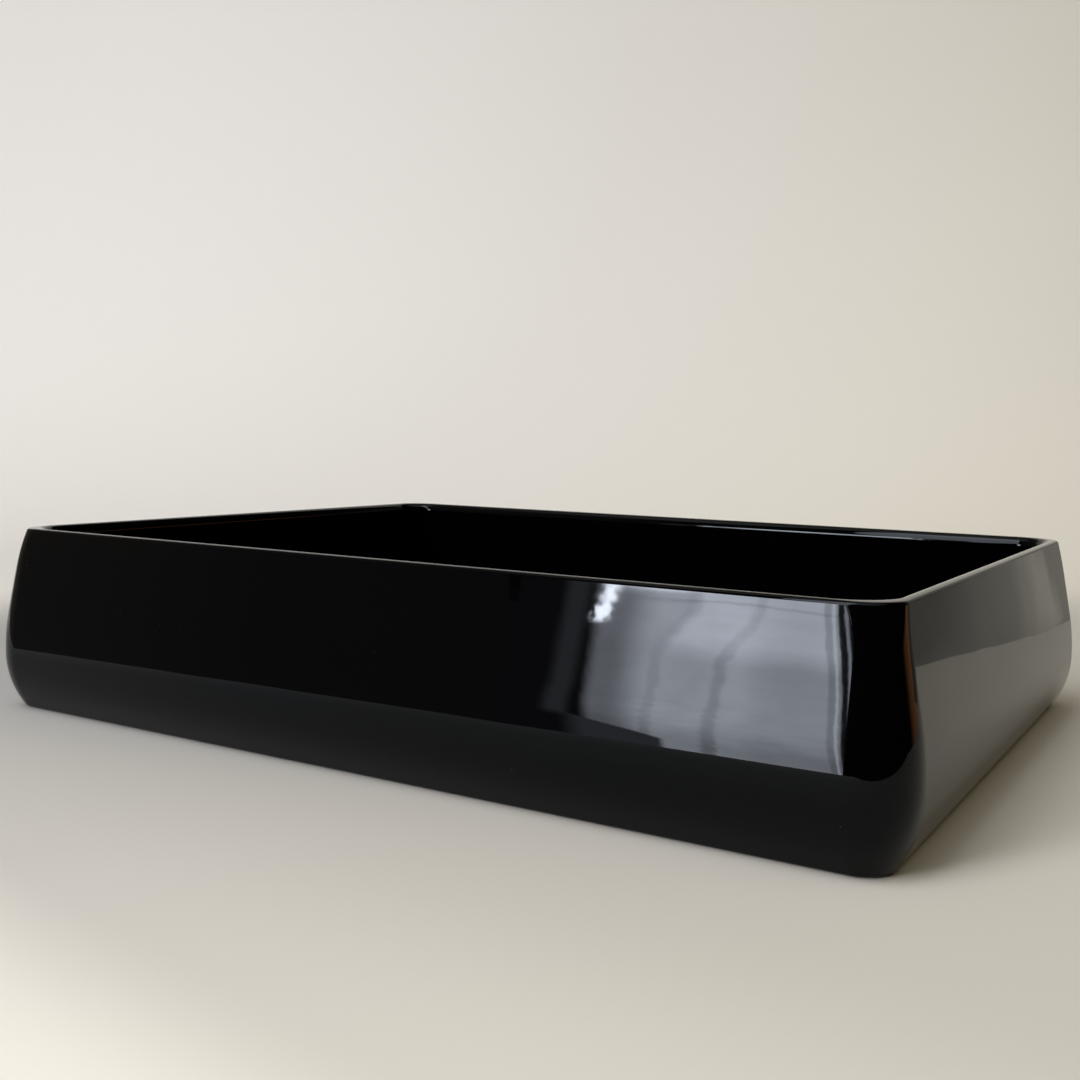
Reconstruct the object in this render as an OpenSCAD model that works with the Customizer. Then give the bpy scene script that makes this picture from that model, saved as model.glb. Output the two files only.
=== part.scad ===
// Lacquer document box: an open box whose sides swell out below a thin crowned rim.
// Four bulged side boards meet in mitres, each held by a hidden spline. The bottom board sits
// in a rabbet under them and is fixed from below with bamboo pegs.
// Millimetres, +Z up, X along the long sides. The origin is the middle of the box, on the
// surface that it stands on.

/* [Box] */
// Length across the rim, outside
rim_l = 330; // [260:1:450]
// Width across the rim, outside
rim_w = 246.5; // [190:0.5:340]
// Height from the table to the crest of the rim
box_h = 67.4; // [58:0.1:100]
// Outer corner radius at the rim
corner_r = 9; // [7:0.5:14]

/* [Side profile] */
// Height of the widest line of the sides
belly_z = 20.8; // [17:0.1:25]
// Height over which the sides turn from upright to their lean, above the widest line
belly_rise = 17.8; // [14:0.1:24]
// How far the sides fall in over that height
belly_fall = 1.64; // [1:0.02:3]

/* [Rim and inside] */
// Thickness of a side board at the rim
wall_t = 5.4; // [4.8:0.1:8]
// Radius of the rim's rounded inner edge
mouth_r = 3.6; // [2:0.1:4.2]
// Drop from the crest of the rim to its outer edge
crown_drop = 0.3; // [0.1:0.05:0.6]
// Radius of the rim's outer edge
edge_r = 0.5; // [0.2:0.1:0.6]
// Inner corner radius of the box
inner_r = 11.4; // [7:0.1:16]

/* [Bottom board] */
// Thickness of the bottom board
board_t = 6; // [4:0.5:9]
// Height of the bottom board's underside above the table
board_lift = 0.8; // [0.4:0.1:2]
// Width of the foot that the side boards leave around the bottom board
foot_w = 2; // [1.6:0.1:3]

/* [Joinery] */
// Thickness of a mitre spline
spline_t = 3; // [2:0.5:4]
// Width of a mitre spline, across the joint
spline_w = 14; // [8:0.5:16]
// Wood left between the top of a spline and the crest of the rim
spline_cover = 14; // [10:0.5:24]
// Diameter of a bamboo peg
peg_d = 2; // [1.4:0.1:2.3]
// Length of a bamboo peg, with its point
peg_len = 16; // [12:0.5:20]
// Length of a peg's point
peg_point = 2; // [1:0.5:3]
// Distance from a rim corner to the first peg beside it
peg_end = 35; // [25:1:50]
// Greatest distance between neighbouring pegs
peg_pitch = 65; // [40:1:90]
// Clearance around the splines, the pegs and the bottom board's edge
fit_gap = 0.1; // [0.05:0.05:0.2]

/* [Hidden] */
$fn = 96;

LACQUER = [0.03, 0.03, 0.035];
BARE_WOOD = [0.78, 0.62, 0.42];
BAMBOO = [0.80, 0.72, 0.48];

// Side profile, measured outward from the upright axis of the rounded corner
upper_r = hundredth((belly_rise ^ 2 + belly_fall ^ 2) / (2 * belly_fall));
lean = 2 * atan(belly_fall / belly_rise);
lean_z = belly_z + belly_rise;
// How far the sides swell out beyond the rim, so that their face runs straight up to its edge
bulge = hundredth(belly_fall + (box_h - crown_drop - lean_z) * tan(lean));
// Below the widest line one arc turns the sides under, to a table edge that lies under the rim's
lower_r = hundredth((belly_z ^ 2 + bulge ^ 2) / (2 * bulge));
belly_x = corner_r + bulge;
crest_x = corner_r - wall_t + mouth_r;

// The inside of the box, its floor and what fastens it
board_top = board_lift + board_t;
inner_d = wall_t + inner_r;
board_r = corner_r - foot_w;
peg_inset = (foot_w + wall_t) / 2;
mitre_in = inner_r - (inner_d - corner_r) * sqrt(2);
spline_mid = (mitre_in + corner_r) / 2;
spline_h = box_h - spline_cover - board_top;

// How far the cutting shapes reach past what they cut
over = 2;
crown_steps = 3;
edge_steps = 4;
mouth_steps = 6;

// Rounded to a hundredth, so that neighbouring curves meet on one exact point
function hundredth(v) = round(100 * v) / 100;

function unit(v) = v / norm(v);

// Points of the arc of radius r that rounds the corner k between a and b
function round_corner(a, k, b, r, steps) =
    let (u = unit(a - k), w = unit(b - k), half = acos(u * w) / 2)
    let (centre = k + unit(u + w) * r / sin(half), first = k + u * r / tan(half) - centre)
    let (start = atan2(first.y, first.x), turn = sign(cross(w, u)) * (180 - 2 * half))
    [for (i = [0:steps]) centre + r * [cos(start + turn * i / steps), sin(start + turn * i / steps)]];

// Section of a side board, solid from inner_x out to the swelling face and up to the crowned rim
module side_section(inner_x) {
    span = belly_x - inner_x + over;
    face_start = [belly_x - upper_r + sqrt(upper_r ^ 2 - belly_rise ^ 2), lean_z];
    outer_edge = [corner_r, box_h - crown_drop];
    crown = [for (i = [1:crown_steps]) let (t = 1 - i / crown_steps)
        [crest_x + (corner_r - crest_x) * t, box_h - crown_drop * t ^ 2]];
    intersection() {
        translate([belly_x - lower_r, belly_z]) circle(lower_r);
        translate([inner_x, 0]) square([span, belly_z]);
    }
    intersection() {
        translate([belly_x - upper_r, belly_z]) circle(upper_r);
        translate([inner_x, belly_z]) square([span, belly_rise]);
    }
    polygon(concat([[inner_x, lean_z], face_start],
        round_corner(face_start, outer_edge, crown[0], edge_r, edge_steps),
        crown, [[inner_x, box_h]]));
}

// Rectangle of half sizes hx and hy with rounded corners
module rounded_plan(hx, hy, r) {
    square([2 * (hx - r), 2 * hy], center = true);
    square([2 * hx, 2 * (hy - r)], center = true);
    for (sx = [-1, 1], sy = [-1, 1]) translate([sx * (hx - r), sy * (hy - r)]) circle(r);
}

// A section swept straight along X, with its outward side towards -Y
module straight_run(len) {
    rotate([90, 0, -90]) linear_extrude(len, center = true) children();
}

// A section turned through the right or left quarter corner of a side that faces -Y
module quarter_turn(side) {
    rotate([0, 0, side > 0 ? -90 : 180]) rotate_extrude(angle = 90) children();
}

// Solid side board before it is hollowed: half sizes hx along the board and hy to its rim line
module side_blank(hx, hy) {
    ax = hx - corner_r;
    ay = hy - corner_r;
    translate([0, -ay, 0]) straight_run(2 * ax) side_section(corner_r - inner_d - over);
    for (side = [-1, 1]) translate([side * ax, -ay, 0]) quarter_turn(side) side_section(0);
}

// Wedge between the two mitre planes of a side board
module mitre_wedge(hx, hy) {
    near = inner_d + over / 2;
    far = bulge + over;
    translate([0, 0, -over]) linear_extrude(box_h + 2 * over)
        polygon([[-(hx - near), -(hy - near)], [hx - near, -(hy - near)],
            [hx + far, -(hy + far)], [-(hx + far), -(hy + far)]]);
}

// Section of the cut that rounds the rim's inner edge, measured outward from x
module mouth_section(x) {
    foot = box_h - mouth_r;
    polygon(concat([[x - over, box_h + over], [x - over, foot]],
        [for (i = [0:mouth_steps]) let (t = 180 - 90 * i / mouth_steps)
            [x + mouth_r + mouth_r * cos(t), foot + mouth_r * sin(t)]],
        [[x + mouth_r, box_h + over]]));
}

// The hollow inside, with its rounded mouth along a side that faces -Y
module hollow(hx, hy) {
    translate([0, 0, board_top - over]) linear_extrude(box_h - board_top + 2 * over)
        rounded_plan(hx - wall_t, hy - wall_t, inner_r);
    ax = hx - inner_d;
    ay = hy - inner_d;
    translate([0, -ay, 0]) straight_run(2 * ax) mouth_section(inner_r);
    for (side = [-1, 1]) translate([side * ax, -ay, 0]) quarter_turn(side) mouth_section(inner_r);
}

// Plain upright prism of the bottom board's plan, gap larger than the board all round
module board_prism(hx, hy, z0, z1, gap) {
    inset = foot_w + fit_gap - gap;
    translate([0, 0, z0]) linear_extrude(z1 - z0)
        rounded_plan(hx - inset, hy - inset, board_r - fit_gap + gap);
}

// Upright spline in the mitre at a corner axis, pointing out at the angle turn
module spline_at(ax, ay, turn, gap) {
    translate([ax, ay, board_top]) rotate([0, 0, turn])
        translate([spline_mid - spline_t / 2 - gap, -spline_w / 2 - gap, 0])
        cube([spline_t + 2 * gap, spline_w + 2 * gap, spline_h + gap]);
}

// Pointed peg standing at the height of the bottom board's underside
module peg(gap) {
    shaft = peg_len - peg_point;
    r = peg_d / 2 + gap;
    translate([0, 0, board_lift]) {
        cylinder(h = shaft, r = r);
        translate([0, 0, shaft]) cylinder(h = peg_point + gap, r1 = r, r2 = r / 2);
    }
}

// The row of pegs under a side that faces -Y
module peg_row(hx, hy, gap) {
    run = 2 * (hx - peg_end);
    steps = ceil(run / peg_pitch);
    for (i = [0:steps]) translate([run * (i / steps - 0.5), -(hy - peg_inset), 0]) peg(gap);
}

// Finished side board facing -Y
module side_board(hx, hy) {
    difference() {
        intersection() {
            side_blank(hx, hy);
            mitre_wedge(hx, hy);
        }
        hollow(hx, hy);
        board_prism(hx, hy, -over, board_top, fit_gap);
        spline_at(hx - corner_r, -(hy - corner_r), -45, fit_gap);
        spline_at(-(hx - corner_r), -(hy - corner_r), -135, fit_gap);
        peg_row(hx, hy, fit_gap);
    }
}

module front_wall() {
    color(LACQUER) side_board(rim_l / 2, rim_w / 2);
}

module back_wall() {
    color(LACQUER) rotate([0, 0, 180]) side_board(rim_l / 2, rim_w / 2);
}

module left_wall() {
    color(LACQUER) rotate([0, 0, -90]) side_board(rim_w / 2, rim_l / 2);
}

module right_wall() {
    color(LACQUER) rotate([0, 0, 90]) side_board(rim_w / 2, rim_l / 2);
}

// The pegs under all four sides
module all_pegs(gap) {
    for (turn = [0, 180]) rotate([0, 0, turn]) peg_row(rim_l / 2, rim_w / 2, gap);
    for (turn = [-90, 90]) rotate([0, 0, turn]) peg_row(rim_w / 2, rim_l / 2, gap);
}

module bottom_board() {
    color(LACQUER) difference() {
        board_prism(rim_l / 2, rim_w / 2, board_lift, board_top, 0);
        all_pegs(fit_gap);
    }
}

module spline(sx, sy) {
    color(BARE_WOOD)
        spline_at(sx * (rim_l / 2 - corner_r), sy * (rim_w / 2 - corner_r), atan2(sy, sx), 0);
}

module front_left_spline() { spline(-1, -1); }
module front_right_spline() { spline(1, -1); }
module back_left_spline() { spline(-1, 1); }
module back_right_spline() { spline(1, 1); }

module bottom_pegs() {
    color(BAMBOO) all_pegs(0);
}

front_wall();
back_wall();
left_wall();
right_wall();
bottom_board();
front_left_spline();
front_right_spline();
back_left_spline();
back_right_spline();
bottom_pegs();
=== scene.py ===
"""Looks of the lacquer document box: its lacquered sides, bottom, joinery and a plain stage.

Laid out as a Blender add-on and run as a script. All lengths are in metres, in the frame of the
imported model: +X along the long sides, +Y towards the back, +Z up, origin under the middle.
"""

import math

import bpy
from bpy.props import FloatProperty, FloatVectorProperty, PointerProperty
from mathutils import Matrix, Vector
from mathutils.geometry import tessellate_polygon


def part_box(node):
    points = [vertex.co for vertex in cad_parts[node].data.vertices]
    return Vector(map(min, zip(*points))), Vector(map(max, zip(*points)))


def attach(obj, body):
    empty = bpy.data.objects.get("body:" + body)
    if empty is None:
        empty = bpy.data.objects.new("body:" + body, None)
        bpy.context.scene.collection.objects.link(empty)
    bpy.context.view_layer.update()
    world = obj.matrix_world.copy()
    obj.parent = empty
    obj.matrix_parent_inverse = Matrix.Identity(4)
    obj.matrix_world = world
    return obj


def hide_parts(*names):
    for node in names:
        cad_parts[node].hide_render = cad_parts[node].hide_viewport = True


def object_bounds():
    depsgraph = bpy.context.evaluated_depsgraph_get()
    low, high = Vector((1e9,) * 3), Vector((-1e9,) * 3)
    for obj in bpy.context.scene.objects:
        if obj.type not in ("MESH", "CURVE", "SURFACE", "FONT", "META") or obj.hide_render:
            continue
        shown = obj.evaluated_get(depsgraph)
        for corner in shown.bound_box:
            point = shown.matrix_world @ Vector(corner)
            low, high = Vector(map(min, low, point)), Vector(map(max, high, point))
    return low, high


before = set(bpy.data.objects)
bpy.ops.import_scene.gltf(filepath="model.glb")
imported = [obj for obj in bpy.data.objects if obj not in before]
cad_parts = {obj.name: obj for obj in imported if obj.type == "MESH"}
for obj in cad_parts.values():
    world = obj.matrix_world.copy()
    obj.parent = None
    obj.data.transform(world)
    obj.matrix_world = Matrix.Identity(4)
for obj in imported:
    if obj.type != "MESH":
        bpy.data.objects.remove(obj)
cad_low, cad_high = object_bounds()
board_low, board_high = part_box("bottom_board")

bl_info = {
    "name": "Lacquer document box",
    "version": (1, 0, 0),
    "blender": (4, 5, 0),
    "location": "3D View > Sidebar > Lacquer Box",
    "description": "Builds the looks of an open black lacquer box around its packed model",
    "category": "Object",
}

# How far the sides swell out beyond the rim, and the rim's size inside that
BULGE = 0.00694
RIM_LENGTH = cad_high.x - cad_low.x - 2 * BULGE
RIM_WIDTH = cad_high.y - cad_low.y - 2 * BULGE

# Number of steps along each part of a side board's section and along its length
ARC_STEPS = 18
FACE_STEPS = 8
EDGE_STEPS = 8
TURN_STEPS = 20
RUN_STEPS = 40

# Two points closer than this are one vertex
SAME_POINT = 1e-7


def length(name, description, default):
    """A length property, in metres."""
    return FloatProperty(
        name=name, description=description, default=default, min=0.0, precision=5,
        subtype="DISTANCE", unit="LENGTH",
    )


def colour(name, description, default):
    """A linear colour property."""
    return FloatVectorProperty(
        name=name, description=description, default=default, size=3, min=0.0, max=1.0,
        subtype="COLOR",
    )


def number(name, description, default, top=100.0):
    """A plain number property."""
    return FloatProperty(
        name=name, description=description, default=default, min=0.0, max=top, precision=4,
    )


def angle(name, description, degrees):
    """An angle property, given in degrees."""
    return FloatProperty(
        name=name, description=description, default=math.radians(degrees),
        subtype="ANGLE", unit="ROTATION",
    )


def place(name, description, default):
    """A point property, in metres."""
    return FloatVectorProperty(
        name=name, description=description, default=default, size=3, subtype="XYZ", unit="LENGTH",
    )


class BoxSizes(bpy.types.PropertyGroup):
    """Sizes of the box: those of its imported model, and the small roundings of its lacquer"""

    rim_length: length("Rim length", "Length across the rim, outside", RIM_LENGTH)
    rim_width: length("Rim width", "Width across the rim, outside", RIM_WIDTH)
    height: length("Height", "Height of the rim's crest above the table", cad_high.z)
    corner_radius: length("Corner radius", "Outer corner radius at the rim", 0.009)
    belly_height: length("Belly height", "Height of the widest line of the sides", 0.0208)
    belly_rise: length("Belly rise", "Height over which the sides turn to their lean", 0.0178)
    belly_fall: length("Belly fall", "How far the sides fall in over that height", 0.00164)
    wall: length("Wall", "Thickness of a side board at the rim", 0.0054)
    mouth_radius: length("Mouth radius", "Radius of the rim's inner edge", 0.0036)
    crown_drop: length("Crown drop", "Drop from the crest of the rim to its outer edge", 0.0003)
    edge_radius: length("Edge radius", "Radius of the rim's outer edge", 0.0012)
    rim_corner: length("Rim corner", "Corner radius of the rim's outer edge once polished", 0.012)
    rim_taper: length("Rim taper", "Height over which the corners open out to the rim's", 0.0125)
    foot_radius: length("Foot radius", "Radius of the edge that stands on the table", 0.0018)
    foot_width: length("Foot width", "Width of the foot around the bottom board", 0.002)
    inner_radius: length("Inner radius", "Inner corner radius", 0.0114)
    cove_radius: length("Cove radius", "Radius of the lacquer in the corner of the floor", 0.0015)
    floor: length("Floor", "Height of the floor of the box", board_high.z)


class LacquerLook(bpy.types.PropertyGroup):
    """Colours and gloss of the finishes"""

    black: colour("Black", "Colour deep in the lacquer", (0.0002, 0.0003, 0.0007))
    brown: colour("Brown", "Colour where the lacquer is a little clearer", (0.0006, 0.0005, 0.0006))
    dust: colour("Dust", "Colour of the few dust specks", (0.030, 0.030, 0.029))
    sheen: colour("Sheen", "Colour of what the lacquer mirrors head on", (0.66, 0.74, 0.82))
    gloss: number("Gloss", "Roughness of the polished lacquer", 0.018, 1.0)
    haze: number("Haze", "Roughness that wiping adds in patches", 0.028, 1.0)
    waves: length("Waves", "Height of the broad waves that polishing by hand leaves", 0.0001)
    softwood: colour("Softwood", "Colour of the splines between grain lines", (0.62, 0.45, 0.27))
    late_wood: colour("Late wood", "Colour of the splines' grain lines", (0.40, 0.24, 0.11))
    bamboo: colour("Bamboo", "Colour of the pegs", (0.64, 0.53, 0.30))
    bamboo_fibre: colour("Bamboo fibre", "Colour of the pegs' fibres", (0.36, 0.25, 0.11))


class StageLook(bpy.types.PropertyGroup):
    """The floor, the lights and the camera"""

    # Painted light and shade: floor darker on the left, floor and backdrop lighter and warmer on
    # the right
    cloth: colour("Cloth", "Colour of the floor on the left", (0.372, 0.372, 0.370))
    cloth_right: colour("Right cloth", "Colour of the floor on the right", (0.625, 0.602, 0.550))
    wall: colour("Wall", "Colour of the backdrop", (0.715, 0.704, 0.672))
    wall_right_painted_light: colour("Right wall", "Colour of the backdrop on the right", (0.785, 0.762, 0.690))
    # Painted shade: dark tone on the floor and backdrop behind the box on the right, for its right
    # face to mirror
    painted_shade: colour("Shade", "Colour of the backdrop where it turns away", (0.265, 0.260, 0.245))
    brown: colour("Brown", "Light from beyond the right end of the backdrop", (0.85, 0.36, 0.15))
    room: colour("Room", "Light from the left side of the room", (0.165, 0.145, 0.12))
    room_dark: colour("Dark room", "Light from the right side of the room", (0.011, 0.011, 0.011))
    room_top: colour("Ceiling", "Colour of the ceiling in front", (1.0, 0.99, 0.97))
    room_back: colour("Back ceiling", "Colour of the ceiling at the back", (0.40, 0.37, 0.31))
    ceiling: number("Ceiling light", "Brightness of the ceiling", 1.1)
    panel: number("Panel", "Brightness of the soft panel in front on the left", 19.2)
    key_power: number("Key light", "Power of the soft light above the panel, in watts", 33.5, 500.0)
    key_colour: colour("Key colour", "Colour of the soft light above the panel", (1.0, 1.0, 1.0))
    fill_power: number("Fill light", "Power of the soft light on the right, in watts", 1.9, 500.0)
    fill_colour: colour("Fill colour", "Colour of the soft light on the right", (1.0, 0.84, 0.50))
    camera_place: place("Camera", "Where the camera stands", (0.24191, -0.41038, 0.10600))
    camera_turn: angle("Turn", "How far the camera looks to the left of +Y", 31.4020)
    camera_pitch: angle("Pitch", "How far the camera looks down", 4.9658)
    camera_roll: angle("Roll", "How far the camera is tilted", 1.0729)
    lens: number("Lens", "Focal length in millimetres on a 36 mm sensor", 40.759, 300.0)


# Shader maths

# Numbers of the Mix node's colour sockets
MIX_FIRST = 6
MIX_SECOND = 7
MIX_RESULT = 2


class Wire:
    """A shader socket that Python's operators work on, each through a Math node."""

    def __init__(self, finish, socket):
        self.finish = finish
        self.socket = socket

    def math(self, operation, first, second=0.0):
        return self.finish.node("ShaderNodeMath", {"operation": operation}, {0: first, 1: second})

    def __add__(self, other):
        return self.math("ADD", self, other)

    __radd__ = __add__

    def __sub__(self, other):
        return self.math("SUBTRACT", self, other)

    def __rsub__(self, other):
        return self.math("SUBTRACT", other, self)

    def __mul__(self, other):
        return self.math("MULTIPLY", self, other)

    __rmul__ = __mul__

    def __lt__(self, other):
        return self.math("LESS_THAN", self, other)

    def __abs__(self):
        return self.math("ABSOLUTE", self)


class Finish:
    """A node tree that is put together in Python."""

    def __init__(self, tree):
        self.tree = tree
        self.tree.nodes.clear()

    def node(self, kind, settings=None, values=None, output=0):
        """Adds a node, its settings, then its sockets' values or links, and gives one output."""
        made = self.tree.nodes.new(kind)
        for name, value in (settings or {}).items():
            setattr(made, name, value)
        for name, value in (values or {}).items():
            socket = made.inputs[name]
            if isinstance(value, Wire):
                self.tree.links.new(value.socket, socket)
            elif socket.type == "RGBA" and len(value) == 3:
                socket.default_value = (*value, 1.0)
            else:
                socket.default_value = value
        return Wire(self, made.outputs[output]) if made.outputs else made

    def mix(self, mask, first, second):
        """Colour that goes from first to second with mask."""
        values = {0: mask, MIX_FIRST: first, MIX_SECOND: second}
        return self.node("ShaderNodeMix", {"data_type": "RGBA"}, values, MIX_RESULT)

    def scaled(self, tone, level):
        """A colour made brighter or darker."""
        return self.node("ShaderNodeVectorMath", {"operation": "SCALE"}, {0: tone, "Scale": level})

    def near(self, value, middle, inner, outer):
        """1 within inner of the middle, 0 beyond outer, smooth between."""
        return 1 - self.step(abs(value - middle), inner, outer)

    def here(self):
        """Place on the object, in metres."""
        return self.node("ShaderNodeTexCoord", output="Object")

    def axes(self, vector):
        """The three parts of a vector."""
        first = self.node("ShaderNodeSeparateXYZ", None, {0: vector})
        return [Wire(self, part) for part in first.socket.node.outputs]

    def stretched(self, vector, factors):
        """A vector with each part multiplied by its own factor."""
        return self.node("ShaderNodeVectorMath", {"operation": "MULTIPLY"}, {0: vector, 1: factors})

    def noise(self, vector, scale, detail=2.0, roughness=0.5):
        """Cloudy values about 0.5, with scale clouds to the metre."""
        values = {"Vector": vector, "Scale": scale, "Detail": detail, "Roughness": roughness}
        return self.node("ShaderNodeTexNoise", None, values)

    def step(self, value, low, high):
        """0 below low, 1 above high, smooth between."""
        values = {"Value": value, "From Min": low, "From Max": high}
        return self.node("ShaderNodeMapRange", {"interpolation_type": "SMOOTHSTEP"}, values)

    def bump(self, height, depth):
        """A normal that follows height, whose 0 to 1 stands for depth in metres."""
        values = {"Strength": 1.0, "Distance": depth, "Height": height}
        return self.node("ShaderNodeBump", None, values)

    def surface(self, **values):
        """A Principled surface, as this tree's result."""
        sockets = {}
        for name, value in values.items():
            sockets[name.replace("_", " ").title().replace("Ior", "IOR")] = value
        shader = self.node("ShaderNodeBsdfPrincipled", None, sockets)
        self.node("ShaderNodeOutputMaterial", None, {"Surface": shader})


def new_finish(name):
    """An empty material and the Finish that fills it."""
    material = bpy.data.materials.new(name)
    material.use_nodes = True
    return material, Finish(material.node_tree)


# Finishes of the box. A scale is a number of cells to the metre, and a range gives the values from
# which a change starts and at which it is done

# Lacquer: refractive index, clearer patches, dust specks, wiped patches and waves
LACQUER_IOR = 1.30
CLEAR_SCALE = 9.0
CLEAR_RANGE = (0.35, 0.7)
SPECK_SCALE = 130.0
SPECK_SIZE = 0.022
WIPE_SCALE = 16.0
WIPE_STRETCH = (1.0, 1.0, 2.2)
WIPE_RANGE = (0.48, 0.75)
WAVE_SCALE = 24.0
RIPPLE_SCALE = 210.0
RIPPLE_SHARE = 0.02

# Bottom board: how much rougher it is than the sides, and the scuffs under it
BOARD_GLOSS = 1.6
BOARD_HAZE = 1.4
SCUFF_UP = (0.002, 0.004)
SCUFF_STRETCH = (40.0, 900.0, 40.0)
SCUFF_LEAST = 0.10
SCUFF_ADDED = 0.18

# Softwood of the splines
SPLINE_STRETCH = (1.0, 1.0, 0.06)
RING_SCALE = 900.0
RING_RANGE = (0.42, 0.66)
RING_SHARE = 0.7
FIBRE_SCALE = 5200.0
FIBRE_SHARE = 0.25
FIBRE_DEPTH = 0.00005
SOFTWOOD_ROUGH = 0.58
FIBRE_ROUGH = 0.2

# Bamboo of the pegs, lacquered up to a little above the underside of the bottom board
PEG_STRETCH = (1.0, 1.0, 0.04)
PEG_SCALE = 3800.0
PEG_RANGE = (0.5, 0.68)
PEG_DEPTH = 0.00004
BAMBOO_ROUGH = 0.5
PEG_LACQUER = (board_low.z + 0.0002, board_low.z + 0.0005)
PEG_LACQUER_SMOOTH = 0.3


def lacquer(name, look, gloss, haze, scuffed=False):
    """Polished black lacquer: deep, wavy by a hair, hazy in patches, with a few specks of dust."""
    material, f = new_finish(name)
    here = f.here()
    clear = f.step(f.noise(here, CLEAR_SCALE, detail=3.0), *CLEAR_RANGE)
    cells = f.node("ShaderNodeTexVoronoi", None, {"Vector": here, "Scale": SPECK_SCALE})
    specks = cells < SPECK_SIZE
    wiping = f.noise(f.stretched(here, WIPE_STRETCH), WIPE_SCALE, detail=4.0, roughness=0.6)
    rough = gloss + f.step(wiping, *WIPE_RANGE) * haze
    if scuffed:
        underside = 1 - f.step(f.axes(here)[2], *SCUFF_UP)
        scuffs = f.noise(f.stretched(here, SCUFF_STRETCH), 1.0, detail=3.0)
        rough = rough + underside * (SCUFF_LEAST + scuffs * SCUFF_ADDED)
    base = f.mix(clear, look.black, look.brown)
    waves = f.noise(here, WAVE_SCALE, detail=1.0)
    ripple = f.noise(here, RIPPLE_SCALE)
    f.surface(
        base_color=f.mix(specks, base, look.dust),
        roughness=rough,
        ior=LACQUER_IOR,
        specular_tint=look.sheen,
        normal=f.bump(waves + ripple * RIPPLE_SHARE, look.waves),
    )
    return material


def planed_softwood(look):
    """Straight-grained softwood, its grain lines running up the spline."""
    material, f = new_finish("spline_softwood")
    here = f.stretched(f.here(), SPLINE_STRETCH)
    rings = f.step(f.noise(here, RING_SCALE), *RING_RANGE)
    fibres = f.noise(here, FIBRE_SCALE, detail=3.0)
    late = rings * RING_SHARE + fibres * FIBRE_SHARE
    f.surface(
        base_color=f.mix(late, look.softwood, look.late_wood),
        roughness=SOFTWOOD_ROUGH + fibres * FIBRE_ROUGH,
        normal=f.bump(fibres, FIBRE_DEPTH),
    )
    return material


def whittled_bamboo(look):
    """Bamboo with dark fibre ends, blackened by the lacquer over its lower end."""
    material, f = new_finish("peg_bamboo")
    here = f.here()
    fibres = f.step(f.noise(f.stretched(here, PEG_STRETCH), PEG_SCALE), *PEG_RANGE)
    lacquered = 1 - f.step(f.axes(here)[2], *PEG_LACQUER)
    base = f.mix(fibres, look.bamboo, look.bamboo_fibre)
    f.surface(
        base_color=f.mix(lacquered, base, look.black),
        roughness=BAMBOO_ROUGH + fibres * FIBRE_ROUGH - lacquered * PEG_LACQUER_SMOOTH,
        normal=f.bump(fibres, PEG_DEPTH),
    )
    return material


# Section of a side board


class SectionPoint:
    """A point of the section: out from the rim's outer line and up, with its outward normal.

    Inset is how far the upright axis of the rounded corner lies inside the rim's outer line, and
    spread is how fast the inset shrinks along the section there.
    """

    def __init__(self, out, up, normal, inset, spread=0.0):
        self.out = out
        self.up = up
        self.normal = normal
        self.inset = inset
        self.spread = spread


def line(start, end, normal, inset, steps=1):
    """Points of a straight strip of the section."""
    points = []
    for i in range(steps + 1):
        at = Vector(start).lerp(Vector(end), i / steps)
        points.append(SectionPoint(at.x, at.y, normal, inset))
    return points


def arc(centre, radius, first, last, inset, steps, hollow=False):
    """Points of a round strip of the section, from the angle first to the angle last."""
    points = []
    for i in range(steps + 1):
        turn = first + (last - first) * i / steps
        way = Vector((math.cos(turn), math.sin(turn)))
        normal = -way if hollow else way
        out = centre[0] + radius * way.x
        up = centre[1] + radius * way.y
        points.append(SectionPoint(out, up, normal, inset))
    return points


def rounding(corner, first_normal, last_normal, radius, inset, steps):
    """Points of the arc that rounds a corner between two straight strips."""
    middle = (first_normal + last_normal).normalized()
    centre = corner - middle * (radius / middle.dot(first_normal))
    first = math.atan2(first_normal.y, first_normal.x)
    last = math.atan2(last_normal.y, last_normal.x)
    return arc(centre, radius, first, last, inset, steps)


def tighten(points, first_inset, last_inset):
    """Lets the corner axis of a strip move outward along it, fast at first and then slower."""
    reach = Vector((points[-1].out - points[0].out, points[-1].up - points[0].up)).length
    for i, point in enumerate(points):
        left = 1 - i / (len(points) - 1)
        point.inset = last_inset + (first_inset - last_inset) * left ** 2
        point.spread = 2 * (first_inset - last_inset) * left / reach
    return points


def crown(crest, edge, inset, steps):
    """Points of the rim's top, level at its crest and falling to its outer edge."""
    width = edge.x - crest.x
    drop = crest.y - edge.y
    points = []
    for i in range(steps + 1):
        t = i / steps
        normal = Vector((2 * drop * t / width, 1.0)).normalized()
        points.append(SectionPoint(crest.x + width * t, crest.y - drop * t * t, normal, inset))
    return points


def rim_edge(sizes, crest, edge, face_normal):
    """Points of the rim's rounded outer edge, which meets the slopes of the crown and the face."""
    slope = 2 * sizes.crown_drop / (edge.x - crest.x)
    lean = face_normal.y / face_normal.x
    top_normal = Vector((slope, 1.0)).normalized()
    reach = sizes.edge_radius * math.tan(top_normal.angle(face_normal) / 2)
    width = edge.x - crest.x + lean * edge.y - reach * top_normal.y
    tip_up = (crest.y - slope / 2 * width - reach * top_normal.x) / (1 - slope * lean / 2)
    tip = Vector((edge.x + lean * (edge.y - tip_up), tip_up))
    return rounding(tip, top_normal, face_normal, sizes.edge_radius, sizes.rim_corner, EDGE_STEPS)


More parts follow.
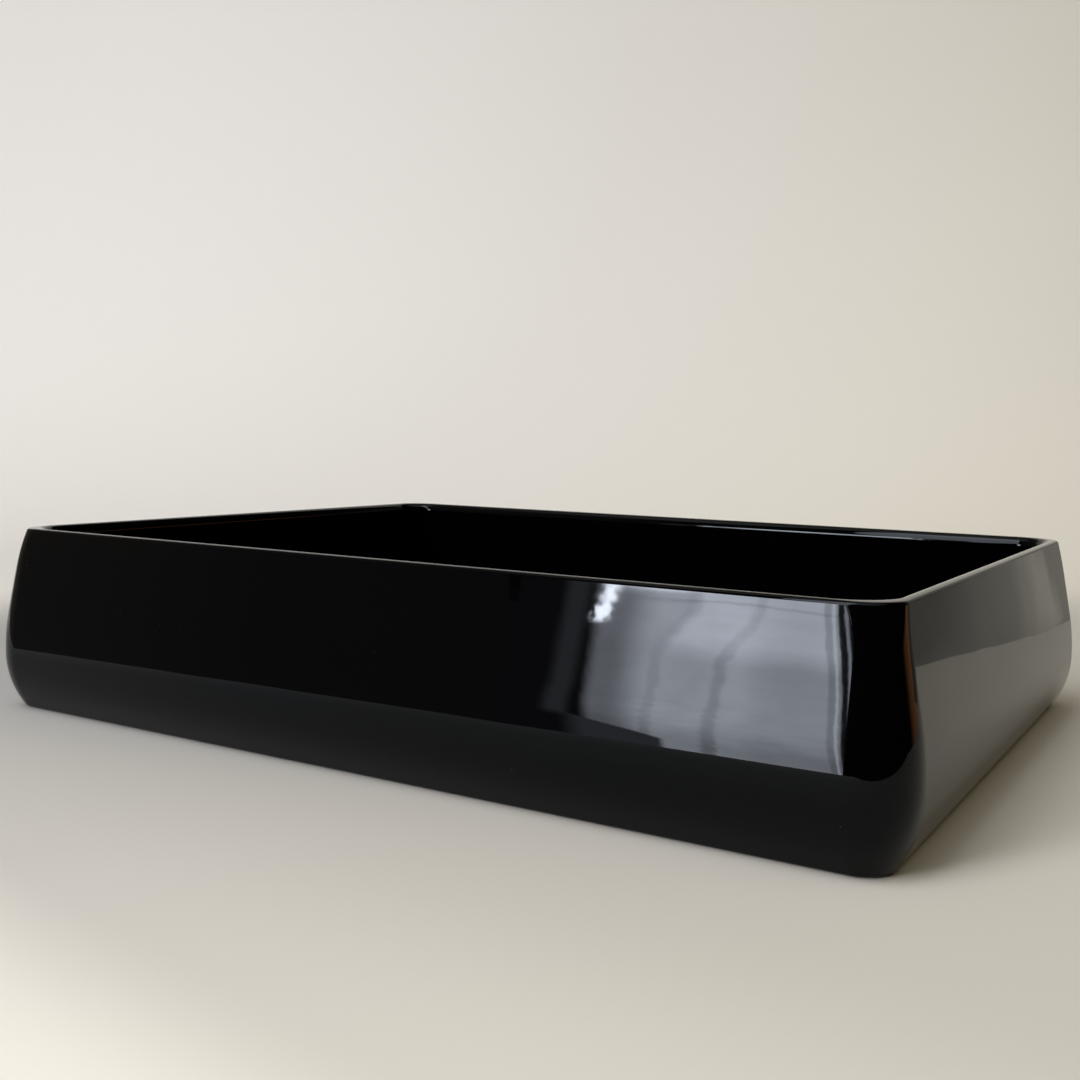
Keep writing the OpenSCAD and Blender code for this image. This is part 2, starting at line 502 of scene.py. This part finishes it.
def side_section(sizes):
    """Strips of the closed section: the foot, the inside, the rim and the swelling face."""
    turned = sizes.corner_radius
    lean_up = sizes.belly_height + sizes.belly_rise
    upper = (sizes.belly_rise ** 2 + sizes.belly_fall ** 2) / (2 * sizes.belly_fall)
    lean = math.asin(sizes.belly_rise / upper)
    lower = (sizes.belly_height ** 2 + BULGE ** 2) / (2 * BULGE)
    face_normal = Vector((math.cos(lean), math.sin(lean)))
    face_low = Vector((BULGE - upper + upper * math.cos(lean), lean_up))
    mouth = sizes.mouth_radius
    edge = Vector((0.0, sizes.height - sizes.crown_drop))
    crest = Vector((mouth - sizes.wall, sizes.height))
    inside = sizes.wall + sizes.inner_radius
    wall = -sizes.wall
    floor = sizes.floor
    cove = sizes.cove_radius
    down = Vector((0.0, -1.0))
    inward = Vector((-1.0, 0.0))

    # The rim's outer edge is polished rounder at the corners than the face that it tops
    edge_arc = rim_edge(sizes, crest, edge, face_normal)
    crown_end = Vector((edge_arc[0].out, edge_arc[0].up))
    face_high = Vector((edge_arc[-1].out, edge_arc[-1].up))
    share = sizes.rim_taper / (face_high.y - face_low.y)
    face_mid = face_high.lerp(face_low, share)
    taper = line(face_high, face_mid, face_normal, turned, FACE_STEPS)
    tighten(taper, sizes.rim_corner, turned)
    for i, point in enumerate(edge_arc):
        point.spread = taper[0].spread * i / EDGE_STEPS

    # The lower arc is turned into the foot by a small rounding that touches the table
    low_centre = Vector((BULGE - lower, sizes.belly_height))
    round_up = sizes.foot_radius
    round_out = low_centre.x + math.sqrt((lower - round_up) ** 2 - (low_centre.y - round_up) ** 2)
    low_turn = math.atan2(round_up - low_centre.y, round_out - low_centre.x)

    foot_in = -sizes.foot_width
    return [
        line((round_out, 0.0), (foot_in, 0.0), down, turned),
        line((foot_in, 0.0), (foot_in, floor), inward, turned),
        [
            SectionPoint(foot_in, floor, down, turned),
            SectionPoint(wall - cove, floor, down, inside),
        ],
        arc((wall - cove, floor + cove), cove, -math.pi / 2, 0.0, inside, EDGE_STEPS, hollow=True),
        line((wall, floor + cove), (wall, sizes.height - mouth), inward, inside, FACE_STEPS),
        arc((crest.x, sizes.height - mouth), mouth, math.pi, math.pi / 2, inside, ARC_STEPS),
        tighten(crown(crest, crown_end, inside, EDGE_STEPS), inside, sizes.rim_corner),
        edge_arc,
        taper,
        line(face_mid, face_low, face_normal, turned, FACE_STEPS),
        arc((BULGE - upper, sizes.belly_height), upper, lean, 0.0, turned, ARC_STEPS),
        arc(low_centre, lower, 0.0, low_turn, turned, ARC_STEPS),
        arc((round_out, round_up), round_up, low_turn, -math.pi / 2, turned, EDGE_STEPS),
    ]


# Side boards


class Station:
    """A place along a side board that faces -Y: a share of its straight run, or a corner's turn."""

    def __init__(self, share, turn):
        self.share = share
        self.turn = turn

    def point(self, halves, at):
        radius = at.inset + at.out
        x = (halves.x - at.inset) * self.share + radius * math.sin(self.turn)
        y = halves.y - at.inset + radius * math.cos(self.turn)
        return Vector((x, -y, at.up))

    def normal(self, at):
        opening = abs(math.sin(self.turn)) + math.cos(self.turn) - 1
        up = at.normal.y + at.spread * opening
        out = at.normal.x
        return Vector((out * math.sin(self.turn), -out * math.cos(self.turn), up)).normalized()


def board_stations():
    """Stations from the left mitre to the right one."""
    mitre = math.pi / 4
    left = [Station(-1.0, -mitre + mitre * i / TURN_STEPS) for i in range(TURN_STEPS)]
    run = [Station(-1.0 + 2.0 * i / RUN_STEPS, 0.0) for i in range(RUN_STEPS + 1)]
    right = [Station(1.0, mitre * (i + 1) / TURN_STEPS) for i in range(TURN_STEPS)]
    return left + run + right


class Skin:
    """Collects faces with a normal at each of their corners, and joins points that meet."""

    def __init__(self):
        self.points = []
        self.numbers = {}
        self.faces = []
        self.normals = []

    def vertex(self, point):
        key = tuple(round(c / SAME_POINT) for c in point)
        if key not in self.numbers:
            self.numbers[key] = len(self.points)
            self.points.append(point)
        return self.numbers[key]

    def face(self, corners, normals):
        kept = []
        kept_normals = []
        for corner, normal in zip(corners, normals):
            number_here = self.vertex(corner)
            if number_here not in kept:
                kept.append(number_here)
                kept_normals.append(normal)
        if len(kept) > 2:
            self.faces.append(kept)
            self.normals.extend(kept_normals)

    def mesh(self, name, matrix):
        made = bpy.data.meshes.new(name)
        made.from_pydata(self.points, [], self.faces)
        made.shade_smooth()
        made.transform(matrix)
        turn = matrix.to_3x3()
        made.normals_split_custom_set([turn @ n for n in self.normals])
        made.validate()
        return made


def mitre_face(skin, strips, station, halves, outward):
    """Closes the end of a side board at its mitre."""
    outline = []
    for strip in strips:
        for at in strip[:-1]:
            point = station.point(halves, at)
            if not outline or (point - outline[-1]).length > SAME_POINT:
                outline.append(point)
    for triangle in tessellate_polygon([outline]):
        corners = [outline[i] for i in triangle]
        across = (corners[1] - corners[0]).cross(corners[2] - corners[0])
        if across.dot(outward) < 0:
            corners.reverse()
        skin.face(corners, [outward] * 3)


def side_board(name, sizes, long_side, quarter_turns):
    """A side board as a closed mesh, turned from facing -Y by quarter turns."""
    halves = Vector((sizes.rim_length / 2, sizes.rim_width / 2))
    if not long_side:
        halves = halves.yx
    strips = side_section(sizes)
    stations = board_stations()
    skin = Skin()
    for strip in strips:
        for a, b in zip(strip, strip[1:]):
            for s, t in zip(stations, stations[1:]):
                corners = [(a, s), (b, s), (b, t), (a, t)]
                points = [w.point(halves, at) for at, w in corners]
                skin.face(points, [w.normal(at) for at, w in corners])
    half = math.sqrt(0.5)
    mitre_face(skin, strips, stations[0], halves, Vector((-half, half, 0.0)))
    mitre_face(skin, strips, stations[-1], halves, Vector((half, half, 0.0)))
    mesh = skin.mesh(name, Matrix.Rotation(quarter_turns * math.pi / 2, 4, "Z"))
    made = bpy.data.objects.new(name, mesh)
    bpy.context.scene.collection.objects.link(made)
    return made


SIDE_BOARDS = (
    ("front_side", "front_wall", True, 0),
    ("right_side", "right_wall", False, 1),
    ("back_side", "back_wall", True, 2),
    ("left_side", "left_wall", False, 3),
)


class LACQUERBOX_OT_side_boards(bpy.types.Operator):
    """Builds the four lacquered side boards with their crowned rim and mitred corners"""

    bl_idname = "lacquerbox.side_boards"
    bl_label = "Side boards"

    def execute(self, context):
        sizes = context.scene.box_sizes
        look = context.scene.lacquer_look
        finish = lacquer("wall_lacquer", look, look.gloss, look.haze)
        for name, node, long_side, turns in SIDE_BOARDS:
            board = side_board(name, sizes, long_side, turns)
            board.data.materials.append(finish)
            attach(board, "root")
            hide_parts(node)
        return {"FINISHED"}


def refinish(node, material):
    """Gives a carried-over CAD node its finish."""
    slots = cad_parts[node].material_slots
    for slot in slots:
        slot.material = material
    if not slots:
        raise RuntimeError(f"{node} has no material slot")


class LACQUERBOX_OT_bottom_board(bpy.types.Operator):
    """Finishes the bottom board in lacquer, polished inside and scuffed underneath"""

    bl_idname = "lacquerbox.bottom_board"
    bl_label = "Bottom board"

    def execute(self, context):
        look = context.scene.lacquer_look
        gloss = look.gloss * BOARD_GLOSS
        haze = look.haze * BOARD_HAZE
        refinish("bottom_board", lacquer("board_lacquer", look, gloss, haze, scuffed=True))
        return {"FINISHED"}


class LACQUERBOX_OT_splines(bpy.types.Operator):
    """Finishes the splines in the mitres in planed softwood"""

    bl_idname = "lacquerbox.splines"
    bl_label = "Mitre splines"

    def execute(self, context):
        finish = planed_softwood(context.scene.lacquer_look)
        for corner in ("front_left", "front_right", "back_left", "back_right"):
            refinish(corner + "_spline", finish)
        return {"FINISHED"}


class LACQUERBOX_OT_pegs(bpy.types.Operator):
    """Finishes the pegs under the bottom board in bamboo"""

    bl_idname = "lacquerbox.pegs"
    bl_label = "Bottom pegs"

    def execute(self, context):
        refinish("bottom_pegs", whittled_bamboo(context.scene.lacquer_look))
        return {"FINISHED"}


# Stage

# Left and right ends of the floor's front edge, of two lines across the floor, and of the line
# where it starts to curve up into the backdrop
FRONT_LINE = (Vector((-0.80, -0.1324)), Vector((0.17, -0.3138)))
NEAR_LINE = (Vector((-0.90, -0.1000)), Vector((0.62, -0.0200)))
FAR_LINE = (Vector((-1.00, -0.0700)), Vector((0.68, 0.6000)))
BACK_LINE = (Vector((-1.10, -0.0457)), Vector((1.50, 1.2507)))
FRONT_TURN = (FRONT_LINE[1] - FRONT_LINE[0]).normalized()
BACK_TURN = (BACK_LINE[1] - BACK_LINE[0]).normalized()
FLOOR_UP = -0.0001
SWEEP_RADIUS = 0.6
SWEEP_TOP = 0.9
DROP_RADIUS = 0.01
DROP_DEPTH = 0.9
SWEEP_STEPS = 24

# Tones of the floor and backdrop. Here and below, a range gives the places between which a change
# takes place, and a step gives its amount and then its range
# Ranges of the painted shade on the left of the floor and the painted light on the right of the
# backdrop
CLOTH_ACROSS = (-0.30, 0.30)
WALL_ACROSS = (-0.60, 0.05)
WALL_BEHIND = (0.22, 0.45)
WALL_SLANT = 0.35
# Painted shade behind the box on the right: where it starts, its slant, its least amount and its
# steps
SHADE_ALONG = (0.520, 0.530)
SHADE_ACROSS = (0.16, 0.20)
SHADE_SLANT = 0.17
SHADE_LEAST = 0.20
SHADE_RISES = ((0.48, 0.165, 0.200), (0.36, 0.19, 0.30))
SHADE_FALL = (0.45, 0.157, 0.165)
# Painted light along the floor's front edge, away from the box: the amount and range of each lift
FRONT_PAINTED_LIGHTS = ((0.19, 0.05, 0.15), (0.45, 0.0, 0.05))
SWEEP_ROUGH = 0.9
SWEEP_IOR = 1.2

# The panel stands across Y
PANEL_Y = -2.0
PANEL_LEFT = -1.14
PANEL_RIGHT = -0.34
PANEL_LOW = -0.5
PANEL_HIGH = 0.75
PANEL_TINT = (1.0, 0.965, 1.0)

# Shares of the panel's brightness, from below to above
LEAST_LIGHT = 0.0080
LOW_LIGHT = 0.58
MIDDLE_STEP = (0.42, -0.25, 0.15)
TOP_UP = (0.365, 0.425)
TOP_LIGHT = 0.10
TOP_RIGHT_STEP = (0.46, -0.80, -0.75)

# Faint grid of the panel: bars that bend above, each with its depth, and a crossbar. Halves are the
# half widths within which a line is full and beyond which it is gone
BARS = ((-0.780, 0.18), (-0.645, 0.24))
BAR_HALVES = (0.006, 0.020)
BAR_BEND = (0.06, 0.37, 0.48)
BAR_WOBBLE = 0.03
BAR_WOBBLE_SCALE = 30.0
CROSSBAR_UP = 0.4725
CROSSBAR_SLANT = 0.02
CROSSBAR_DEPTH = 0.35
CROSSBAR_HALVES = (0.0015, 0.0030)

# Mottling of the panel
MOTTLE_LEAST = 0.72
CLOUD_SHARE = 0.36
CLOUD_SCALE = 9.0
GRAIN_SHARE = 0.20
GRAIN_STRETCH = (9.0, 1.0, 60.0)

# Left edge of the panel
LEFT_SLANT = 0.04
LEFT_STEPS = ((0.36, -0.943, -0.908), (0.64, -0.888, -0.775))

# Right edge of the panel: it gets dimmer twice and ends, with a line of light just before its end
# and one just past it
SIDE_SLANT = 0.030
SIDE_BEND = (0.028, 0.25, 0.60)
SIDE_FALLS = ((0.14, -0.62, -0.54), (0.32, -0.4345, -0.4305))
SIDE_END = (-0.4090, -0.4066)
LINE_HALVES = (0.0018, 0.0038)
INNER_LINE = -0.4165
INNER_LIGHT = 0.55
OUTER_LINE = -0.3935
OUTER_LIGHT = 0.62
OUTER_UP = (0.24, 0.36)

# Sill at the lower left corner of the panel
SILL_SLANT = 0.65
SILL_UP = (-0.683, -0.663)
SILL_RIGHT = (-0.766, -0.746)
SILL_LEFT = (-1.0, -0.92)
SILL_LIGHT = 0.06

# Glare near the top left of the panel: a ragged spot, a streak above it, and a faint veil
SPOT_LINE = -1.0445
SPOT_HALVES = (0.004, 0.022)
SPOT_SLANT = 0.3
SPOT_WOBBLE = 0.05
SPOT_WOBBLE_SCALE = 70.0
SPOT_UP = (0.424, 0.438)
SPOT_LIGHT = 3.6
STREAK_UP = (0.500, 0.515)
STREAK_LEFT = (-0.95, -0.93)
STREAK_RIGHT = (-0.77, -0.65)
STREAK_LIGHT = 1.6
VEIL_LINE = -1.000
VEIL_HALVES = (0.008, 0.048)
VEIL_UP = (-0.1, 0.0)
VEIL_LIGHT = 0.050

# Soft light that stands above the panel
KEY_PLACE = Vector((-0.47, -1.28, 1.50))
KEY_AIM = Vector((0.0, 0.2, 0.0))
KEY_SIDES = (0.8, 2.6)

# Dark card just before that light: its left edge, and the two ends of its slanting right edge as up
# and right, from the light's middle
FLAG_GAP = 0.05
FLAG_LEFT = -0.45
FLAG_RIGHT = ((-1.4, 0.27), (1.4, -0.37))
FLAG_SCALE = 40.0
FLAG_ROUGH = 0.9

# Soft light on the right, into the shadow of the box
FILL_PLACE = Vector((0.85, 0.05, 1.05))
FILL_AIM = Vector((0.17, 0.0, 0.0))
FILL_SIDES = (0.9, 0.5)

# Tones of the room. The ranges are of the parts of a direction of length 1
ROOM_ACROSS = (-0.42, -0.30)
BROWN_ACROSS = (0.24, 0.34)
BROWN_ALONG = (0.34, 0.58)
BROWN_END = (0.86, 0.95)
BROWN_TOP = (0.10, 0.16)
CEILING_ALONG = (-0.30, 0.30)
CEILING_UP = (0.80, 0.90)

SENSOR_WIDTH = 36.0
NEAR_CLIP = 0.01


def sheet_object(name, rows, finish):
    """An open sheet through rows of points, as part of the stage."""
    points = [p for row in rows for p in row]
    width = len(rows[0])
    faces = []
    for i in range(len(rows) - 1):
        for j in range(width - 1):
            a = i * width + j
            faces.append((a, a + 1, a + width + 1, a + width))
    mesh = bpy.data.meshes.new(name)
    mesh.from_pydata(points, [], faces)
    mesh.shade_smooth()
    made = bpy.data.objects.new(name, mesh)
    bpy.context.scene.collection.objects.link(made)
    made.data.materials.append(finish)
    return made


def sweep_rows():
    """Rows of the floor: up from the drop at its front edge, along, and up the backdrop."""
    front_way = FRONT_TURN.orthogonal()
    back_way = BACK_TURN.orthogonal()
    places = [(FRONT_LINE, -front_way * DROP_RADIUS, -DROP_DEPTH)]
    for i in range(SWEEP_STEPS + 1):
        turn = math.pi / 2 * i / SWEEP_STEPS
        ahead = front_way * DROP_RADIUS * math.cos(turn)
        places.append((FRONT_LINE, -ahead, DROP_RADIUS * (math.sin(turn) - 1)))
    places.append((NEAR_LINE, Vector((0.0, 0.0)), 0.0))
    places.append((FAR_LINE, Vector((0.0, 0.0)), 0.0))
    for i in range(SWEEP_STEPS + 1):
        turn = math.pi / 2 * i / SWEEP_STEPS
        back = back_way * SWEEP_RADIUS * math.sin(turn)
        places.append((BACK_LINE, back, SWEEP_RADIUS * (1 - math.cos(turn))))
    places.append((BACK_LINE, back_way * SWEEP_RADIUS, SWEEP_TOP))
    rows = []
    for ends, offset, up in places:
        rows.append([(*(end + offset), up + FLOOR_UP) for end in ends])
    return rows


def sweep_finish(look):
    """Plain pale floor that runs up into a paler backdrop, with painted light and shade in its
    tones.
    """
    material, f = new_finish("stage_sweep")
    across, along = f.axes(f.here())[:2]
    behind = along * BACK_TURN.x - across * BACK_TURN.y
    # Painted light on the right of the backdrop, painted shade on the left of the floor
    wall = f.mix(f.step(across, *WALL_ACROSS), look.wall, look.wall_right_painted_light)
    cloth = f.mix(f.step(across, *CLOTH_ACROSS), look.cloth, look.cloth_right)
    base = f.mix(f.step(behind - WALL_SLANT * across, *WALL_BEHIND), cloth, wall)

    # Painted shade: the floor and backdrop are darker behind the box on the right, in steps that
    # slant with the distance
    aside = across - SHADE_SLANT * along
    amount, *fall = SHADE_FALL
    # turned is the share of painted shade at each place
    turned = SHADE_LEAST + amount * (1 - f.step(aside, *fall))
    for amount, *rise in SHADE_RISES:
        turned = turned + amount * f.step(aside, *rise)
    turned = turned * f.step(across, *SHADE_ACROSS) * f.step(along, *SHADE_ALONG)
    with_painted_shade = f.mix(turned, base, look.painted_shade)

    # Painted light: the floor is lighter towards its front edge and brightest along it, so darker
    # near the box
    start = FRONT_LINE[0]
    from_front = (along - start.y) * FRONT_TURN.x - (across - start.x) * FRONT_TURN.y
    painted_lift = 1.0
    for amount, *fall in FRONT_PAINTED_LIGHTS:
        painted_lift = painted_lift + amount * (1 - f.step(from_front, *fall))
    f.surface(base_color=f.scaled(with_painted_shade, painted_lift), roughness=SWEEP_ROUGH, ior=SWEEP_IOR)
    return material


def panel_grid(f, here, across, up):
    """Share of light on the panel before its edges are drawn: brighter above, with a faint grid."""
    amount, *bend = BAR_BEND
    wobble = BAR_WOBBLE * f.noise(here, BAR_WOBBLE_SCALE, detail=3.0)
    bent = across - amount * f.step(up, *bend) + wobble
    amount, *right = TOP_RIGHT_STEP
    top = TOP_LIGHT + amount * f.step(bent, *right)
    amount, *middle = MIDDLE_STEP
    level = LOW_LIGHT + amount * f.step(up, *middle) + top * f.step(up, *TOP_UP)
    crossbar = f.near(up + CROSSBAR_SLANT * across, CROSSBAR_UP, *CROSSBAR_HALVES)
    level = level - CROSSBAR_DEPTH * crossbar
    for bar, depth in BARS:
        level = level - depth * f.near(bent, bar, *BAR_HALVES)
    clouds = CLOUD_SHARE * f.noise(here, CLOUD_SCALE)
    grain = GRAIN_SHARE * f.noise(f.stretched(here, GRAIN_STRETCH), 1.0, detail=3.0)
    return level * (MOTTLE_LEAST + clouds + grain)


def panel_glare(f, here, across, up):
    """Share of light of the glare near the panel's top left, with the least share anywhere."""
    wobble = SPOT_WOBBLE * f.noise(here, SPOT_WOBBLE_SCALE, detail=3.0)
    ragged = across - SPOT_SLANT * up + wobble
    above = f.step(up, *STREAK_UP)
    spot = f.near(ragged, SPOT_LINE, *SPOT_HALVES) * f.step(up, *SPOT_UP) * (1 - above)
    streak = above * f.step(across, *STREAK_LEFT) * (1 - f.step(across, *STREAK_RIGHT))
    veil = f.near(across, VEIL_LINE, *VEIL_HALVES) * f.step(up, *VEIL_UP)
    return SPOT_LIGHT * spot + STREAK_LIGHT * streak + VEIL_LIGHT * veil + LEAST_LIGHT


def panel_finish(look):
    """Soft light panel: a faint grid, brighter above, with lines of light along its right edge."""
    material, f = new_finish("stage_panel")
    here = f.here()
    across, _, up = f.axes(here)
    level = panel_grid(f, here, across, up)

    # The left edge rises in two steps
    left = across + LEFT_SLANT * up
    rise = 0.0
    for amount, *edge in LEFT_STEPS:
        rise = rise + amount * f.step(left, *edge)
    level = level * rise

    # The right edge leans with height
    amount, *bend = SIDE_BEND
    side = across + SIDE_SLANT * up + amount * f.step(up, *bend)
    for amount, *edge in SIDE_FALLS:
        level = level * (1 - amount * f.step(side, *edge))
    level = level + INNER_LIGHT * f.near(side, INNER_LINE, *LINE_HALVES)
    level = level * (1 - f.step(side, *SIDE_END))
    outer = f.near(side, OUTER_LINE, *LINE_HALVES) * f.step(up, *OUTER_UP)
    level = level + OUTER_LIGHT * outer

    # The lower left corner is cut off above a dimmer sill
    sill = 1 - f.step(up + SILL_SLANT * across, *SILL_UP)
    sill = sill * (1 - f.step(across, *SILL_RIGHT))
    level = level * (1 - sill) + SILL_LIGHT * sill * f.step(across, *SILL_LEFT)

    tone = f.scaled(PANEL_TINT, level + panel_glare(f, here, across, up))
    shine = f.node("ShaderNodeEmission", None, {"Color": tone, "Strength": look.panel})
    f.node("ShaderNodeOutputMaterial", None, {"Surface": shine})
    return material


def flag_finish(look):
    """Dull dark card."""
    material, f = new_finish("stage_flag")
    tone = f.mix(f.noise(f.here(), FLAG_SCALE), look.room_dark, look.painted_shade)
    f.surface(base_color=tone, roughness=FLAG_ROUGH)
    return material


def soft_light(name, middle, aim, sides, power, tint):
    """A rectangular soft light that the camera doesn't see."""
    lamp = bpy.data.lights.new(name, "AREA")
    lamp.shape = "RECTANGLE"
    lamp.size, lamp.size_y = sides
    lamp.energy = power
    lamp.color = tint
    made = bpy.data.objects.new(name, lamp)
    made.location = middle
    made.rotation_euler = (aim - middle).to_track_quat("-Z", "Y").to_euler()
    made.visible_camera = False
    bpy.context.scene.collection.objects.link(made)
    return made


def hide_from_mirrors(key, look):
    """Stands a dark card before the key light that hides its left part from mirror images alone."""
    turn = key.rotation_euler.to_matrix()
    corners = []
    for up, right in FLAG_RIGHT:
        row = [Vector((x, up, -FLAG_GAP)) for x in (FLAG_LEFT, right)]
        corners.append([KEY_PLACE + turn @ corner for corner in row])
    flag = sheet_object("stage_flag", corners, flag_finish(look))
    flag.visible_camera = False
    flag.visible_diffuse = False
    flag.visible_shadow = False


def room(look):
    """The world: a room of low tones under a pale ceiling, and a pale background for the camera."""
    world = bpy.data.worlds.new("room")
    world.use_nodes = True
    f = Finish(world.node_tree)
    across, along, up = f.axes(f.node("ShaderNodeTexCoord", output="Generated"))
    sides = f.mix(f.step(across, *ROOM_ACROSS), look.room, look.room_dark)
    right_back = f.step(across, *BROWN_ACROSS) * f.step(along, *BROWN_ALONG)
    right_back = right_back * (1 - f.step(along, *BROWN_END)) * (1 - f.step(up, *BROWN_TOP))
    sides = f.mix(right_back, sides, look.brown)
    overhead = f.mix(f.step(along, *CEILING_ALONG), look.room_top, look.room_back)
    tone = f.mix(f.step(up, *CEILING_UP), sides, f.scaled(overhead, look.ceiling))

    # Past the ends of the backdrop the camera sees a pale background, and mirror images the room
    seen = f.node("ShaderNodeLightPath", output="Is Camera Ray")
    tone = f.mix(seen, tone, look.wall)
    shine = f.node("ShaderNodeBackground", None, {"Color": tone, "Strength": 1.0})
    f.node("ShaderNodeOutputWorld", None, {"Surface": shine})
    return world


def camera_matrix(look):
    """Where the camera is and how it is turned."""
    turn, pitch, roll = look.camera_turn, look.camera_pitch, look.camera_roll
    level = math.cos(pitch)
    ahead = Vector((-math.sin(turn) * level, math.cos(turn) * level, -math.sin(pitch)))
    right = ahead.cross(Vector((0.0, 0.0, 1.0))).normalized()
    up = right.cross(ahead)
    rolled_right = right * math.cos(roll) + up * math.sin(roll)
    rolled_up = up * math.cos(roll) - right * math.sin(roll)
    turned = Matrix((rolled_right, rolled_up, -ahead)).transposed().to_4x4()
    return Matrix.Translation(look.camera_place) @ turned


class LACQUERBOX_OT_stage(bpy.types.Operator):
    """Sets up the floor, the backdrop, the soft lights and the camera"""

    bl_idname = "lacquerbox.stage"
    bl_label = "Stage"

    def execute(self, context):
        scene = context.scene
        look = scene.stage_look
        sheet_object("stage_sweep", sweep_rows(), sweep_finish(look))
        rows = []
        for z in (PANEL_LOW, PANEL_HIGH):
            rows.append([(x, PANEL_Y, z) for x in (PANEL_RIGHT, PANEL_LEFT)])
        panel = sheet_object("stage_panel", rows, panel_finish(look))
        panel.visible_camera = False

        key = soft_light(
            "key_light", KEY_PLACE, KEY_AIM, KEY_SIDES, look.key_power, look.key_colour,
        )
        hide_from_mirrors(key, look)
        fill = soft_light(
            "fill_light", FILL_PLACE, FILL_AIM, FILL_SIDES, look.fill_power, look.fill_colour,
        )
        fill.visible_glossy = False
        scene.world = room(look)

        view = bpy.data.cameras.new("camera")
        view.sensor_width = SENSOR_WIDTH
        view.lens = look.lens
        view.clip_start = NEAR_CLIP
        camera = bpy.data.objects.new("camera", view)
        camera.matrix_world = camera_matrix(look)
        scene.collection.objects.link(camera)
        scene.camera = camera
        scene.view_settings.view_transform = "Standard"
        return {"FINISHED"}


class LACQUERBOX_PT_pieces(bpy.types.Panel):
    """Lists what the box and its stage are made with"""

    bl_idname = "LACQUERBOX_PT_pieces"
    bl_label = "Lacquer Box"
    bl_space_type = "VIEW_3D"
    bl_region_type = "UI"
    bl_category = "Lacquer Box"

    def draw(self, context):
        for maker in OPERATORS:
            self.layout.operator(maker.bl_idname)
        scene = context.scene
        for group in (scene.box_sizes, scene.lacquer_look, scene.stage_look):
            column = self.layout.column()
            for name in group.__annotations__:
                column.prop(group, name)


GROUPS = (BoxSizes, LacquerLook, StageLook)
OPERATORS = (
    LACQUERBOX_OT_side_boards,
    LACQUERBOX_OT_bottom_board,
    LACQUERBOX_OT_splines,
    LACQUERBOX_OT_pegs,
    LACQUERBOX_OT_stage,
)


def register():
    for kind in (*GROUPS, *OPERATORS, LACQUERBOX_PT_pieces):
        bpy.utils.register_class(kind)
    bpy.types.Scene.box_sizes = PointerProperty(type=BoxSizes)
    bpy.types.Scene.lacquer_look = PointerProperty(type=LacquerLook)
    bpy.types.Scene.stage_look = PointerProperty(type=StageLook)


def unregister():
    del bpy.types.Scene.stage_look
    del bpy.types.Scene.lacquer_look
    del bpy.types.Scene.box_sizes
    for kind in (LACQUERBOX_PT_pieces, *reversed(OPERATORS), *reversed(GROUPS)):
        bpy.utils.unregister_class(kind)


def main():
    register()
    bpy.ops.lacquerbox.side_boards()
    bpy.ops.lacquerbox.bottom_board()
    bpy.ops.lacquerbox.splines()
    bpy.ops.lacquerbox.pegs()
    bpy.ops.lacquerbox.stage()


if __name__ == "__main__":
    main()
